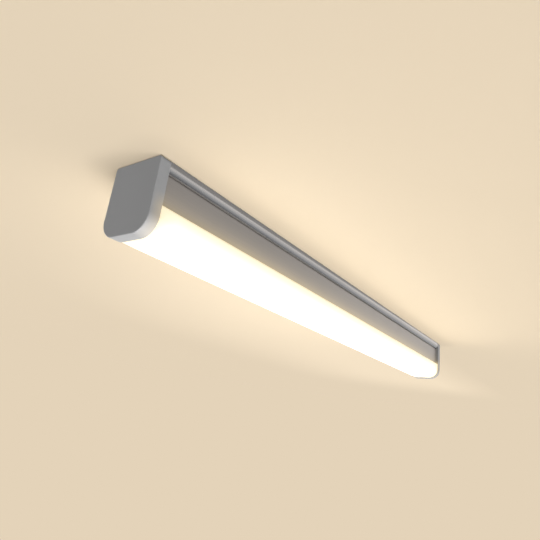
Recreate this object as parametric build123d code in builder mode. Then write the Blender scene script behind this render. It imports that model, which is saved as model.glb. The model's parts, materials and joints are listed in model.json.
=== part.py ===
from build123d import *
import os

os.makedirs("parts", exist_ok=True)

# A slim sealed LED batten that hangs flat on a ceiling, in millimetres.
# X runs along the batten, Y across it and Z up. The ceiling is the plane Z = 0, and the
# origin lies midway between the two ceiling screws.

# Overall sizes. The height is the sum of the housing, the diffuser and their insets.
fixture_length = 600.0
fixture_width = 47.0
housing_height = 32.5
diffuser_height = 21.6
diffuser_gap = 0.2  # lower edge of the walls to the diffuser's shoulder
diffuser_inset = 0.7  # diffuser inside the outline of the end covers

# End covers, end plates and gaskets
cover_lower_radius = 14.0
cover_upper_radius = 2.5
cover_inner_round = 0.6  # least radius of the upper corners inside a cover
cover_edge_round = 0.7
cover_skin = 1.8
cover_skirt = 1.0
plate_clearance = 0.2  # end plate inside the cover's skirt
plate_thickness = 3.0
gasket_thickness = 1.5
peg_radius = 2.0
peg_clearance = 0.1
peg_floor = 1.0  # plate left behind a peg
peg_end_gap = 0.3
upper_peg_drop = 14.0  # ceiling to the upper peg
lower_peg_rise = 13.0  # lowest point of the cover to the lower pegs
lower_peg_spacing = 24.0

# Screw heads, as shares of the head's radius and height
recess_length_share = 1.1
recess_width_share = 0.24
recess_depth_share = 0.55
head_round_share = 0.4

# End screws
end_screw_radius = 1.4
end_screw_head_radius = 3.0
end_screw_head_height = 2.2
end_screw_bite = 10.0  # length inside the housing
head_gap = 0.5  # screw heads to the inside of the cover
screw_clearance = 0.4

# Housing section: bead and groove along the ceiling, side walls
bead_inset = 0.4  # crest of the bead inside the covers' sides
bead_height = 8.6
bead_top_back = 0.7  # bead at the ceiling, back from its crest
bead_foot_back = 1.7  # bead at the groove, back from its crest
groove_height = 1.2
groove_depth = 0.8
wall_recess = 2.7  # wall back from the bead's crest
wall_thickness = 1.6

# Housing section: slot for the ceiling clips, and a pocket beside it
slot_mouth = 16.0
slot_width = 24.0
slot_depth = 7.2
slot_lip = 1.8
slot_floor = 1.8
slot_wall = 1.6
pocket_cover = 2.3  # bead's crest to the pocket
pocket_round = 0.8

# Housing section: channels for the diffuser's legs, web and screw ports
leg_channel = 2.1
channel_depth = 6.0
channel_roof = 1.5
rib_thickness = 1.4
web_thickness = 1.6
port_radius = 3.0
port_pilot = 1.45
port_overlap = 0.4  # how far a port sinks into the wall beside it

# Diffuser and its seal strips
diffuser_wall = 1.8
shoulder_thickness = 1.6
leg_thickness = 1.5
seal_height = 1.6
barb_height = 1.0
barb_reach = 0.8
barb_drop = 3.1  # top of the channel to the barb
barb_clearance = 0.3

# LED boards
board_thickness = 1.2
board_side_gap = 0.8
board_end_gap = 4.0
board_joint = 1.0
led_pitch = 9.5
led_length = 3.5
led_width = 2.8
led_height = 0.7
led_window_radius = 1.1
led_window_depth = 0.15
link_length = 14.0
link_width = 6.0
link_height = 2.2
link_chamfer = 0.4

# Small screws in the web
web_screw_radius = 1.3
web_screw_head_radius = 2.75
web_screw_head_height = 2.0
web_pilot_clearance = 0.05
web_tip_gap = 0.2
board_screw_edge = 4.0  # edge of a board to its screws
board_screw_end = 20.0  # end of a board to its outer screws

# Ceiling clips
clip_end_distance = 91.0  # end of the housing to a clip's screw
clip_length = 24.0
clip_thickness = 0.8
clip_hole_radius = 2.25
clip_side_gap = 1.0  # base of a clip inside the slot's mouth
clip_neck_gap = 0.75
clip_seat_gap = 0.3  # clip arms below the slot's lips
clip_knee_gap = 1.4  # knees inside the slot's sides
clip_knee_drop = 2.1
clip_tip_drop = 2.2
clip_tip_back = 2.0
clip_bend = 0.6

# Cable grommet
grommet_end_distance = 15.0  # end of the housing to the cable
cable_bore_radius = 4.0
grommet_neck_radius = 7.0
grommet_clearance = 0.1
grommet_flange_radius = 9.0
grommet_flange = 1.5
grommet_spout_wall = 1.2
grommet_spout = 3.0

# Terminal block and its release buttons
terminal_end_room = 33.0  # end of the housing to the block
terminal_length = 26.0
terminal_height = 15.0
terminal_side_gap = 1.0
terminal_wall = 1.7
terminal_ear = 6.0
ear_thickness = 1.6
pole_wall = 2.8  # plastic between two poles
cavity_start = 10.0
cavity_back_wall = 3.0
cavity_floor = 2.0
cavity_roof = 2.0
wire_hole_radius = 1.7
wire_hole_rise = 5.0
button_rise = 10.5
button_height = 3.6
button_stand = 2.5  # how far a button stands out of the block
button_end_gap = 0.5
button_travel = 2.0
button_clearance = 0.2
button_slot_width = 0.8
button_slot_depth = 0.6
contact_thickness = 0.8
inner_clearance = 0.2
spring_thickness = 0.4
spring_bend = 0.8
spring_clearance = 0.3
spring_tip_back = 4.0

# Driver
driver_middle = -40.0
driver_length = 200.0
driver_side_gap = 1.0
driver_roof_gap = 3.8
tray_wall = 1.2
tray_base = 1.2
ledge_height = 2.2
ledge_width = 1.2
lid_thickness = 1.2
lid_rim = 1.0
lid_rim_depth = 2.0
driver_ear_length = 8.0
driver_ear_width = 10.0
driver_board_thickness = 1.6
driver_board_gap = 0.3
component_gap = 1.5  # components to the lid
component_width = 14.0
transformer_length = 18.0
transformer_core = 5.0
winding_step = 1.0  # winding inside the sides of the core
winding_gap = 0.75  # winding inside the top and the foot of the core
transformer_place = 40.0  # middle of the driver to the transformer
capacitor_length = 14.0
capacitor_spacing = 20.0
choke_radius = 6.0
choke_hole = 2.5
choke_place = -60.0

# Leads, earth point and LED connector
lead_radius = 1.0
lead_rise = 9.0  # web to the leads
lead_bend = 5.0
lead_run = 12.0
live_entry = -5.0
neutral_entry = -1.0
positive_entry = -8.0
negative_entry = -4.0
earth_room = 40.0
lug_radius = 4.0
lug_thickness = 0.8
lug_tongue = 3.5
barrel_length = 6.0
barrel_radius = 1.6
barrel_distance = 10.0
connector_distance = 30.0
connector_length = 8.0
connector_width = 8.0
connector_clearance = 0.2
connector_rise = 1.5
connector_flange = 1.0
connector_flange_height = 1.4
connector_edge = 6.0
connector_spacing = 3.2

# Places along the batten
half_length = fixture_length / 2
half_width = fixture_width / 2
cover_depth = cover_skin + head_gap + end_screw_head_height + plate_thickness + gasket_thickness
body_half = half_length - cover_depth
clip_x = body_half - clip_end_distance
grommet_x = -body_half + grommet_end_distance
terminal_front = -body_half + terminal_end_room
terminal_rear = terminal_front + terminal_length
driver_left = driver_middle - driver_length / 2
driver_right = driver_middle + driver_length / 2
earth_x = terminal_rear + earth_room
connector_x = driver_right + connector_distance

# Heights, counted down from the ceiling
diffuser_top = -housing_height - diffuser_gap
diffuser_bottom = diffuser_top - diffuser_height
fixture_bottom = diffuser_bottom - diffuser_inset
groove_bottom = -bead_height - groove_height
chamber_top = -slot_depth - slot_floor
channel_top = -housing_height + channel_depth
chamber_step = channel_top + channel_roof
board_bottom = -housing_height + led_height
web_bottom = board_bottom + board_thickness
web_top = web_bottom + web_thickness
lead_z = web_top + lead_rise

# Distances from the middle plane
crest_y = half_width - bead_inset
bead_top_y = crest_y - bead_top_back
bead_foot_y = crest_y - bead_foot_back
wall_y = crest_y - wall_recess
groove_y = wall_y - groove_depth
chamber_y = wall_y - wall_thickness
rib_outer = chamber_y - leg_channel
rib_inner = rib_outer - rib_thickness
board_half = rib_inner - board_side_gap
connector_y = -board_half + connector_edge

# Screw ports in the four corners of the inner chamber
port_y = chamber_y - port_radius + port_overlap
port_room = port_y - port_radius
upper_port_z = chamber_top - port_radius + port_overlap
lower_port_z = chamber_step + port_radius - port_overlap
port_points = [(y, z) for y in (-port_y, port_y) for z in (upper_port_z, lower_port_z)]

# Screws in the web
board_length = body_half - board_end_gap - board_joint / 2
board_middle = board_joint / 2 + board_length / 2
board_screw_y = board_half - board_screw_edge
board_screw_reach = board_length / 2 - board_screw_end
board_screw_points = [
    (side * board_middle + step * board_screw_reach, board_screw_y)
    for side in (-1, 1)
    for step in (-1, 0, 1)
]
terminal_half = port_room - terminal_side_gap
terminal_screw_y = terminal_half - web_screw_head_radius
terminal_screw_points = [
    (terminal_rear + terminal_ear / 2, y)
    for y in (-terminal_screw_y, terminal_screw_y)
]
driver_screw_points = [
    (driver_left - driver_ear_length / 2, 0),
    (driver_right + driver_ear_length / 2, 0),
]
pole_pitch = (2 * terminal_half - 2 * terminal_wall) / 3
pole_room = pole_pitch - pole_wall
earth_point = (earth_x, pole_pitch)


def keep(shape, name):
    shape.label = name
    export_step(shape, f"parts/{name}.step")


def strip(y_low, y_high, z_low, z_high, mode):
    # A rectangle of the section, given by its edges
    with Locations(((y_low + y_high) / 2, (z_low + z_high) / 2)):
        Rectangle(y_high - y_low, z_high - z_low, mode=mode)


def end_outline(x, inset):
    # The outline of the end covers at x, drawn in by the inset
    side = half_width - inset
    lower = cover_lower_radius - inset
    upper = max(cover_upper_radius - inset, cover_inner_round)
    low = fixture_bottom + inset
    corners = [(-side, -inset), (side, -inset), (side, low), (-side, low)]
    with BuildSketch(Plane.YZ.offset(x)) as outline:
        with BuildLine():
            FilletPolyline(*corners, radius=[upper, upper, lower, lower], close=True)
        make_face()
    return outline.sketch


def pan_screws(seat, points, outward, head_radius, head_height, shank_radius, shank_length):
    # Cross-slotted pan heads on the seat plane and plain shanks behind it
    recess_length = recess_length_share * head_radius
    recess_width = recess_width_share * head_radius
    recess_depth = recess_depth_share * head_height
    with BuildPart() as group:
        with BuildSketch(seat):
            with Locations(*points):
                Circle(head_radius)
        extrude(amount=outward * head_height)
        layers = group.edges().group_by(Axis(seat.origin, seat.z_dir))
        fillet(layers[-1] if outward > 0 else layers[0], head_round_share * head_height)
        with BuildSketch(seat.offset(outward * head_height)):
            with Locations(*points):
                Rectangle(recess_length, recess_width)
                Rectangle(recess_width, recess_length)
        extrude(amount=-outward * recess_depth, mode=Mode.SUBTRACT)
        with BuildSketch(seat):
            with Locations(*points):
                Circle(shank_radius)
        extrude(amount=-outward * shank_length)
    return group.part


def web_screws(seat_z, points, outward, grip):
    # Screws that hold a piece of the given thickness to the web
    length = grip + web_thickness - web_tip_gap
    seat = Plane.XY.offset(seat_z)
    return pan_screws(
        seat, points, outward, web_screw_head_radius, web_screw_head_height, web_screw_radius, length
    )


def lead(points, bend):
    # A round insulated lead along straight runs joined by arcs
    with BuildPart() as wire:
        with BuildLine() as route:
            FilletPolyline(*points, radius=bend)
        with BuildSketch(Plane(origin=route.line @ 0, z_dir=route.line % 0)):
            Circle(lead_radius)
        sweep(path=route.wires()[0])
    return wire.part


# Housing: one extruded section, with openings cut in its slot floor and its web
with BuildPart() as housing:
    with BuildSketch(Plane.YZ.offset(-body_half)):
        with BuildLine():
            Polyline((0, web_bottom), (0, 0), (bead_top_y, 0))
            ThreePointArc((bead_top_y, 0), (crest_y, -bead_height / 2), (bead_foot_y, -bead_height))
            Polyline(
                (bead_foot_y, -bead_height),
                (groove_y, -bead_height),
                (groove_y, groove_bottom),
                (wall_y, groove_bottom),
                (wall_y, -housing_height),
                (rib_inner, -housing_height),
                (rib_inner, web_bottom),
                (0, web_bottom),
            )
        make_face()
        strip(0, chamber_y, chamber_step, chamber_top, Mode.SUBTRACT)
        strip(0, rib_inner, web_top, chamber_step, Mode.SUBTRACT)
        strip(0, slot_mouth / 2, -slot_lip, 0, Mode.SUBTRACT)
        strip(0, slot_width / 2, -slot_depth, -slot_lip, Mode.SUBTRACT)
        strip(rib_outer, chamber_y, -housing_height, channel_top, Mode.SUBTRACT)
        barb_top = channel_top - barb_drop + barb_clearance
        barb_room = barb_height + 2 * barb_clearance
        strip(chamber_y, chamber_y + barb_reach, barb_top - barb_room, barb_top, Mode.SUBTRACT)
        pocket_inner = slot_width / 2 + slot_wall
        pocket_outer = crest_y - pocket_cover
        with Locations(((pocket_inner + pocket_outer) / 2, -(slot_lip + slot_depth) / 2)):
            RectangleRounded(
                pocket_outer - pocket_inner, slot_depth - slot_lip, pocket_round, mode=Mode.SUBTRACT
            )
        with Locations((port_y, upper_port_z), (port_y, lower_port_z)):
            Circle(port_radius)
            Circle(port_pilot, mode=Mode.SUBTRACT)
        mirror(about=Plane.YZ)
    extrude(amount=2 * body_half)
    with BuildSketch(Plane.XY.offset(-slot_depth)):
        with Locations((grommet_x, 0)):
            Circle(grommet_neck_radius + grommet_clearance)
    extrude(amount=-slot_floor, mode=Mode.SUBTRACT)
    with BuildSketch(Plane.XY.offset(web_top)):
        with Locations((connector_x, connector_y)):
            Rectangle(connector_length + 2 * connector_clearance, connector_width + 2 * connector_clearance)
        with Locations(*board_screw_points, *terminal_screw_points, *driver_screw_points, earth_point):
            Circle(web_screw_radius + web_pilot_clearance)
    extrude(amount=-web_thickness, mode=Mode.SUBTRACT)
keep(housing.part, "housing")

# Diffuser: a trough with rounded lower corners and two barbed legs
leg_outer = chamber_y - (leg_channel - leg_thickness) / 2
leg_inner = leg_outer - leg_thickness
leg_top = channel_top - seal_height
barb_z = channel_top - barb_drop
diffuser_y = half_width - diffuser_inset
diffuser_radius = cover_lower_radius - diffuser_inset
corner_y = diffuser_y - diffuser_radius
corner_z = diffuser_bottom + diffuser_radius
inner_y = diffuser_y - diffuser_wall
inner_bottom = diffuser_bottom + diffuser_wall
shoulder_bottom = diffuser_top - shoulder_thickness
barb_tip = chamber_y + barb_reach - barb_clearance

with BuildPart() as diffuser:
    with BuildSketch(Plane.YZ.offset(-body_half)):
        with BuildLine():
            Polyline(
                (inner_y, corner_z),
                (inner_y, shoulder_bottom),
                (leg_inner, shoulder_bottom),
                (leg_inner, leg_top),
                (leg_outer, leg_top),
                (leg_outer, barb_z),
                (barb_tip, barb_z - barb_height / 2),
                (barb_tip, barb_z - barb_height),
                (leg_outer, barb_z - barb_height),
                (leg_outer, diffuser_top),
                (diffuser_y, diffuser_top),
                (diffuser_y, corner_z),
            )
            CenterArc((corner_y, corner_z), diffuser_radius, 0, -90)
            Polyline(
                (corner_y, diffuser_bottom),
                (0, diffuser_bottom),
                (0, inner_bottom),
                (corner_y, inner_bottom),
            )
            CenterArc((corner_y, corner_z), diffuser_radius - diffuser_wall, -90, 90)
        make_face()
        mirror(about=Plane.YZ)
    extrude(amount=2 * body_half)
keep(diffuser.part, "diffuser")

# Seal strips between the roof of each channel and the diffuser's leg
for name, y_low, y_high in (
    ("front_diffuser_seal", -chamber_y, -rib_outer),
    ("rear_diffuser_seal", rib_outer, chamber_y),
):
    with BuildPart() as seal:
        with BuildSketch(Plane.YZ.offset(-body_half)):
            strip(y_low, y_high, leg_top, channel_top, Mode.ADD)
        extrude(amount=2 * body_half)
    keep(seal.part, name)

# Both ends: cover, plate, gasket and screws, from the outside in
peg_reach = plate_thickness - peg_floor
peg_points = [
    (0, -upper_peg_drop),
    (-lower_peg_spacing / 2, fixture_bottom + lower_peg_rise),
    (lower_peg_spacing / 2, fixture_bottom + lower_peg_rise),
]
plate_inset = cover_skirt + plate_clearance

for end, side in (("left", -1), ("right", 1)):
    face_x = side * half_length
    skin_x = side * (half_length - cover_skin)
    gasket_x = side * (body_half + gasket_thickness)
    plate_x = side * (body_half + gasket_thickness + plate_thickness)

    with BuildPart() as cover:
        extrude(end_outline(face_x, 0), amount=-side * cover_depth)
        outer_edges = cover.edges().group_by(Axis.X)[-1 if side > 0 else 0]
        fillet(outer_edges, cover_edge_round)
        hollow_depth = abs(skin_x) - body_half
        extrude(end_outline(skin_x, cover_skirt), amount=-side * hollow_depth, mode=Mode.SUBTRACT)
        with BuildSketch(Plane.YZ.offset(plate_x - side * peg_reach)):
            with Locations(*peg_points):
                Circle(peg_radius)
        extrude(amount=side * (abs(skin_x - plate_x) + peg_reach))
    keep(cover.part, f"{end}_end_cover")

    with BuildPart() as plate:
        extrude(end_outline(gasket_x, plate_inset), amount=side * plate_thickness)
        with BuildSketch(Plane.YZ.offset(plate_x)):
            with Locations(*peg_points):
                Circle(peg_radius + peg_clearance)
        extrude(amount=-side * (peg_reach + peg_end_gap), mode=Mode.SUBTRACT)
        with BuildSketch(Plane.YZ.offset(plate_x)):
            with Locations(*port_points):
                Circle(end_screw_radius + screw_clearance)
        extrude(amount=-side * plate_thickness, mode=Mode.SUBTRACT)
    keep(plate.part, f"{end}_end_plate")

    with BuildPart() as gasket:
        extrude(end_outline(side * body_half, plate_inset), amount=side * gasket_thickness)
        with BuildSketch(Plane.YZ.offset(gasket_x)):
            with Locations(*port_points):
                Circle(end_screw_radius + screw_clearance)
        extrude(amount=-side * gasket_thickness, mode=Mode.SUBTRACT)
    keep(gasket.part, f"{end}_end_gasket")

    screws = pan_screws(
        Plane.YZ.offset(plate_x),
        port_points,
        side,
        end_screw_head_radius,
        end_screw_head_height,
        end_screw_radius,
        plate_thickness + gasket_thickness + end_screw_bite,
    )
    keep(screws, f"{end}_end_screws")

# Ceiling clips: bent spring strips that hook under the lips of the slot
shoulder_y = slot_mouth / 2 - clip_side_gap
neck = (slot_mouth / 2 - clip_neck_gap, -slot_lip - clip_seat_gap)
knee = (slot_width / 2 - clip_knee_gap, neck[1] - clip_knee_drop)
tip = (knee[0] - clip_tip_back, knee[1] - clip_tip_drop)
right_arm = [(shoulder_y, -clip_thickness / 2), neck, knee, tip]
left_arm = [(-y, z) for y, z in reversed(right_arm)]

for name, x in (("left_ceiling_clip", -clip_x), ("right_ceiling_clip", clip_x)):
    with BuildPart() as clip:
        with BuildSketch(Plane.YZ.offset(x - clip_length / 2)):
            with BuildLine():
                FilletPolyline(*left_arm, *right_arm, radius=clip_bend)
                offset(amount=clip_thickness / 2, side=Side.BOTH)
            make_face()
        extrude(amount=clip_length)
        with BuildSketch(Plane.XY):
            with Locations((x, 0)):
                Circle(clip_hole_radius)
        extrude(amount=-clip_thickness, mode=Mode.SUBTRACT)
    keep(clip.part, name)

# Cable grommet: turned section with a groove for the slot's floor
with BuildPart() as grommet:
    with BuildSketch(Plane(origin=(grommet_x, 0, 0), x_dir=(1, 0, 0), z_dir=(0, -1, 0))):
        with BuildLine():
            Polyline(
                (cable_bore_radius, -slot_depth + grommet_flange),
                (grommet_flange_radius, -slot_depth + grommet_flange),
                (grommet_flange_radius, -slot_depth),
                (grommet_neck_radius, -slot_depth),
                (grommet_neck_radius, chamber_top),
                (grommet_flange_radius, chamber_top),
                (grommet_flange_radius, chamber_top - grommet_flange),
                (cable_bore_radius + grommet_spout_wall, chamber_top - grommet_flange - grommet_spout),
                (cable_bore_radius, chamber_top - grommet_flange - grommet_spout),
                close=True,
            )
        make_face()
    revolve(axis=Axis((grommet_x, 0, 0), (0, 0, 1)))
keep(grommet.part, "cable_grommet")

# LED boards under the web, with a shared row of LEDs
for name, side in (("led_board_left", -1), ("led_board_right", 1)):
    with BuildPart() as board:
        with BuildSketch(Plane.XY.offset(web_bottom)):
            with Locations((side * board_middle, 0)):
                Rectangle(board_length, 2 * board_half)
            with Locations(*board_screw_points):
                Circle(web_screw_radius + screw_clearance, mode=Mode.SUBTRACT)
            with Locations((connector_x, connector_y)):
                Rectangle(
                    connector_length + 2 * connector_clearance,
                    connector_width + 2 * connector_clearance,
                    mode=Mode.SUBTRACT,
                )
        extrude(amount=-board_thickness)
    keep(board.part, name)

led_count = int(board_length // led_pitch)
led_points = [
    (side * board_middle + (i - (led_count - 1) / 2) * led_pitch, 0)
    for side in (-1, 1)
    for i in range(led_count)
]

with BuildPart() as leds:
    with BuildSketch(Plane.XY.offset(board_bottom)):
        with Locations(*led_points):
            Rectangle(led_width, led_length)
    extrude(amount=-led_height)
    with BuildSketch(Plane.XY.offset(board_bottom - led_height)):
        with Locations(*led_points):
            Circle(led_window_radius)
    extrude(amount=led_window_depth, mode=Mode.SUBTRACT)
keep(leds.part, "leds")

with BuildPart() as board_link:
    with BuildSketch(Plane.XY.offset(board_bottom)):
        with Locations((0, connector_y)):
            Rectangle(link_length, link_width)
    extrude(amount=-link_height)
    chamfer(board_link.faces().sort_by(Axis.Z)[0].edges(), link_chamfer)
keep(board_link.part, "board_link")

keep(web_screws(board_bottom, board_screw_points, -1, board_thickness), "board_screws")

# LED connector: passes through the web and the board, with a flange below
with BuildPart() as connector:
    with BuildSketch(Plane.XY.offset(web_top + connector_rise)):
        with Locations((connector_x, connector_y)):
            Rectangle(connector_length, connector_width)
    extrude(amount=board_bottom - web_top - connector_rise)
    with BuildSketch(Plane.XY.offset(board_bottom)):
        with Locations((connector_x, connector_y)):
            Rectangle(connector_length + 2 * connector_flange, connector_width + 2 * connector_flange)
    extrude(amount=-connector_flange_height)
keep(connector.part, "led_connector")

# Terminal block: three poles, each with a wire hole, a button pocket and a clamp cavity
pole_points = [-pole_pitch, 0.0, pole_pitch]
cavity_x = terminal_front + cavity_start
cavity_end = terminal_rear - cavity_back_wall
cavity_low = web_top + cavity_floor
cavity_high = web_top + terminal_height - cavity_roof
button_z = web_top + button_rise
button_width = pole_room - 2 * button_clearance

with BuildPart() as terminal:
    with BuildSketch(Plane.XY.offset(web_top)):
        with Locations(((terminal_front + terminal_rear) / 2, 0)):
            Rectangle(terminal_length, 2 * terminal_half)
    extrude(amount=terminal_height)
    with BuildSketch(Plane.XY.offset(web_top)):
        with Locations((terminal_rear + terminal_ear / 2, 0)):
            Rectangle(terminal_ear, 2 * terminal_half)
        with Locations(*terminal_screw_points):
            Circle(web_screw_radius + screw_clearance, mode=Mode.SUBTRACT)
    extrude(amount=ear_thickness)
    with BuildSketch(Plane.YZ.offset(terminal_front)):
        with Locations(*[(y, web_top + wire_hole_rise) for y in pole_points]):
            Circle(wire_hole_radius)
        with Locations(*[(y, button_z) for y in pole_points]):
            Rectangle(pole_room, button_height + 2 * button_clearance)
    extrude(amount=cavity_start, mode=Mode.SUBTRACT)
    with BuildSketch(Plane.YZ.offset(cavity_x)):
        for pole in pole_points:
            strip(pole - pole_room / 2, pole + pole_room / 2, cavity_low, cavity_high, Mode.ADD)
    extrude(amount=cavity_end - cavity_x, mode=Mode.SUBTRACT)
keep(terminal.part, "terminal_block")

with BuildPart() as contacts:
    with BuildSketch(Plane.YZ.offset(cavity_x + inner_clearance)):
        for pole in pole_points:
            reach = pole_room / 2 - inner_clearance
            strip(pole - reach, pole + reach, cavity_low, cavity_low + contact_thickness, Mode.ADD)
    extrude(amount=cavity_end - cavity_x - 2 * inner_clearance)
keep(contacts.part, "terminal_contacts")

# Clamp springs: leaves that press a wire onto its contact, clear of the pressed buttons
spring_front = cavity_x + button_travel + spring_clearance
spring_back = cavity_end - spring_clearance
spring_high = cavity_high - spring_clearance
spring_low = cavity_low + contact_thickness + spring_clearance

with BuildPart() as springs:
    for pole in pole_points:
        with BuildSketch(Plane(origin=(0, pole, 0), x_dir=(1, 0, 0), z_dir=(0, -1, 0))):
            with BuildLine():
                FilletPolyline(
                    (spring_back, spring_low),
                    (spring_back, spring_high),
                    (spring_front, spring_high),
                    (spring_back - spring_tip_back, spring_low),
                    radius=spring_bend,
                )
                offset(amount=spring_thickness / 2, side=Side.BOTH)
            make_face()
        extrude(amount=pole_room / 2 - inner_clearance, both=True)
keep(springs.part, "clamp_springs")

keep(web_screws(web_top + ear_thickness, terminal_screw_points, 1, ear_thickness), "terminal_screws")

# Release buttons, one in each pole, with a slot for a screwdriver
for name, pole in zip(("live_button", "neutral_button", "earth_button"), pole_points):
    with BuildPart() as button:
        with BuildSketch(Plane.YZ.offset(terminal_front - button_stand)):
            with Locations((pole, button_z)):
                Rectangle(button_width, button_height)
        extrude(amount=button_stand + cavity_start - button_end_gap)
        with BuildSketch(Plane.YZ.offset(terminal_front - button_stand)):
            with Locations((pole, button_z)):
                Rectangle(button_width, button_slot_width)
        extrude(amount=button_slot_depth, mode=Mode.SUBTRACT)
    keep(button.part, name)

# Driver case: tray with ledges and screw ears, and a lid with an inner rim
driver_half = port_room - driver_side_gap
tray_height = chamber_top - web_top - lid_thickness - driver_roof_gap
tray_top = web_top + tray_height
tray_inner = driver_half - tray_wall
tray_inner_length = driver_length - 2 * tray_wall
driver_board_z = web_top + tray_base + ledge_height

with BuildPart() as tray:
    with BuildSketch(Plane.XY.offset(web_top)):
        with Locations((driver_middle, 0)):
            Rectangle(driver_length, 2 * driver_half)
    extrude(amount=tray_height)
    with BuildSketch(Plane.XY.offset(driver_board_z)):
        with Locations((driver_middle, 0)):
            Rectangle(tray_inner_length, 2 * tray_inner)
    extrude(amount=tray_top - driver_board_z, mode=Mode.SUBTRACT)
    with BuildSketch(Plane.XY.offset(web_top + tray_base)):
        with Locations((driver_middle, 0)):
            Rectangle(tray_inner_length, 2 * (tray_inner - ledge_width))
    extrude(amount=ledge_height, mode=Mode.SUBTRACT)
    with BuildSketch(Plane.XY.offset(web_top)):
        with Locations(*driver_screw_points):
            Rectangle(driver_ear_length, driver_ear_width)
            Circle(web_screw_radius + screw_clearance, mode=Mode.SUBTRACT)
    extrude(amount=ear_thickness)
keep(tray.part, "driver_tray")

rim_half = tray_inner - inner_clearance
rim_length = tray_inner_length - 2 * inner_clearance

with BuildPart() as lid:
    with BuildSketch(Plane.XY.offset(tray_top)):
        with Locations((driver_middle, 0)):
            Rectangle(driver_length, 2 * driver_half)
    extrude(amount=lid_thickness)
    with BuildSketch(Plane.XY.offset(tray_top)):
        with Locations((driver_middle, 0)):
            Rectangle(rim_length, 2 * rim_half)
            Rectangle(rim_length - 2 * lid_rim, 2 * (rim_half - lid_rim), mode=Mode.SUBTRACT)
    extrude(amount=-lid_rim_depth)
keep(lid.part, "driver_lid")

with BuildPart() as driver_board:
    with BuildSketch(Plane.XY.offset(driver_board_z)):
        with Locations((driver_middle, 0)):
            Rectangle(tray_inner_length - 2 * driver_board_gap, 2 * (tray_inner - driver_board_gap))
    extrude(amount=driver_board_thickness)
keep(driver_board.part, "driver_board")

# Main components on the driver's board
component_z = driver_board_z + driver_board_thickness
component_height = tray_top - component_z - component_gap
transformer_x = driver_middle + transformer_place
choke_x = driver_middle + choke_place
capacitor_radius = component_height / 2

with BuildPart() as transformer:
    with BuildSketch(Plane.XY.offset(component_z)):
        with Locations((transformer_x, 0)):
            Rectangle(transformer_length, component_width)
    extrude(amount=component_height)
    winding_length = transformer_length - 2 * transformer_core
    with BuildSketch(Plane.XY.offset(component_z)):
        for edge in (-component_width / 2, component_width / 2):
            with Locations((transformer_x, edge)):
                Rectangle(winding_length, component_width - transformer_core)
    extrude(amount=component_height, mode=Mode.SUBTRACT)
    with BuildSketch(Plane.YZ.offset(transformer_x - winding_length / 2)):
        with Locations((0, component_z + component_height / 2)):
            winding_width = component_width - 2 * winding_step
            winding_height = component_height - 2 * winding_gap
            RectangleRounded(winding_width, winding_height, winding_step)
    extrude(amount=winding_length)
keep(transformer.part, "driver_transformer")

with BuildPart() as capacitors:
    with BuildSketch(Plane.YZ.offset(driver_middle - capacitor_spacing / 2 - capacitor_length)):
        with Locations((0, component_z + capacitor_radius)):
            Circle(capacitor_radius)
    extrude(amount=capacitor_length)
    with BuildSketch(Plane.YZ.offset(driver_middle - capacitor_spacing / 2 + capacitor_length / 2)):
        with Locations((0, component_z + capacitor_radius)):
            Circle(capacitor_radius)
    extrude(amount=capacitor_length)
keep(capacitors.part, "driver_capacitors")

with BuildPart() as choke:
    with BuildSketch(Plane.XY.offset(component_z)):
        with Locations((choke_x, 0)):
            Circle(choke_radius)
            Circle(choke_hole, mode=Mode.SUBTRACT)
    extrude(amount=component_height - component_gap)
keep(choke.part, "driver_choke")

keep(web_screws(web_top + ear_thickness, driver_screw_points, 1, ear_thickness), "driver_screws")

# Leads from the terminal block to the driver
for name, pole, entry in (
    ("live_lead", pole_points[0], live_entry),
    ("neutral_lead", pole_points[1], neutral_entry),
):
    route_points = [
        (terminal_rear, pole, lead_z),
        (terminal_rear + lead_run, pole, lead_z),
        (driver_left - lead_run, entry, lead_z),
        (driver_left, entry, lead_z),
    ]
    keep(lead(route_points, lead_bend), name)

# Earth point: lead, crimped lug and screw
lug_x, lug_y = earth_point
barrel_start = lug_x - barrel_distance
barrel_z = web_top + barrel_radius

with BuildPart() as lug:
    with BuildSketch(Plane.XY.offset(web_top)):
        with Locations(earth_point):
            Circle(lug_radius)
        with Locations((lug_x - barrel_distance / 2, lug_y)):
            Rectangle(barrel_distance, lug_tongue)
        with Locations(earth_point):
            Circle(web_screw_radius + screw_clearance, mode=Mode.SUBTRACT)
    extrude(amount=lug_thickness)
    with BuildSketch(Plane.YZ.offset(barrel_start)):
        with Locations((lug_y, barrel_z)):
            Circle(barrel_radius)
    extrude(amount=barrel_length)
keep(lug.part, "earth_lug")

keep(web_screws(web_top + lug_thickness, [earth_point], 1, lug_thickness), "earth_screw")

earth_route = [
    (terminal_rear, pole_points[2], lead_z),
    (terminal_rear + lead_run, pole_points[2], lead_z),
    (barrel_start - lead_bend, lug_y, barrel_z),
    (barrel_start, lug_y, barrel_z),
]
keep(lead(earth_route, lead_bend), "earth_lead")

# Leads from the driver to the LED connector
connector_top = web_top + connector_rise
for name, entry, place in (
    ("led_lead_positive", positive_entry, connector_y - connector_spacing / 2),
    ("led_lead_negative", negative_entry, connector_y + connector_spacing / 2),
):
    route_points = [
        (driver_right, entry, lead_z),
        (driver_right + lead_run, entry, lead_z),
        (connector_x, place, lead_z),
        (connector_x, place, connector_top),
    ]
    keep(lead(route_points, lead_bend), name)
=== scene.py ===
import json
import math

import bmesh
import bpy
from mathutils import Matrix, Vector

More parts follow.
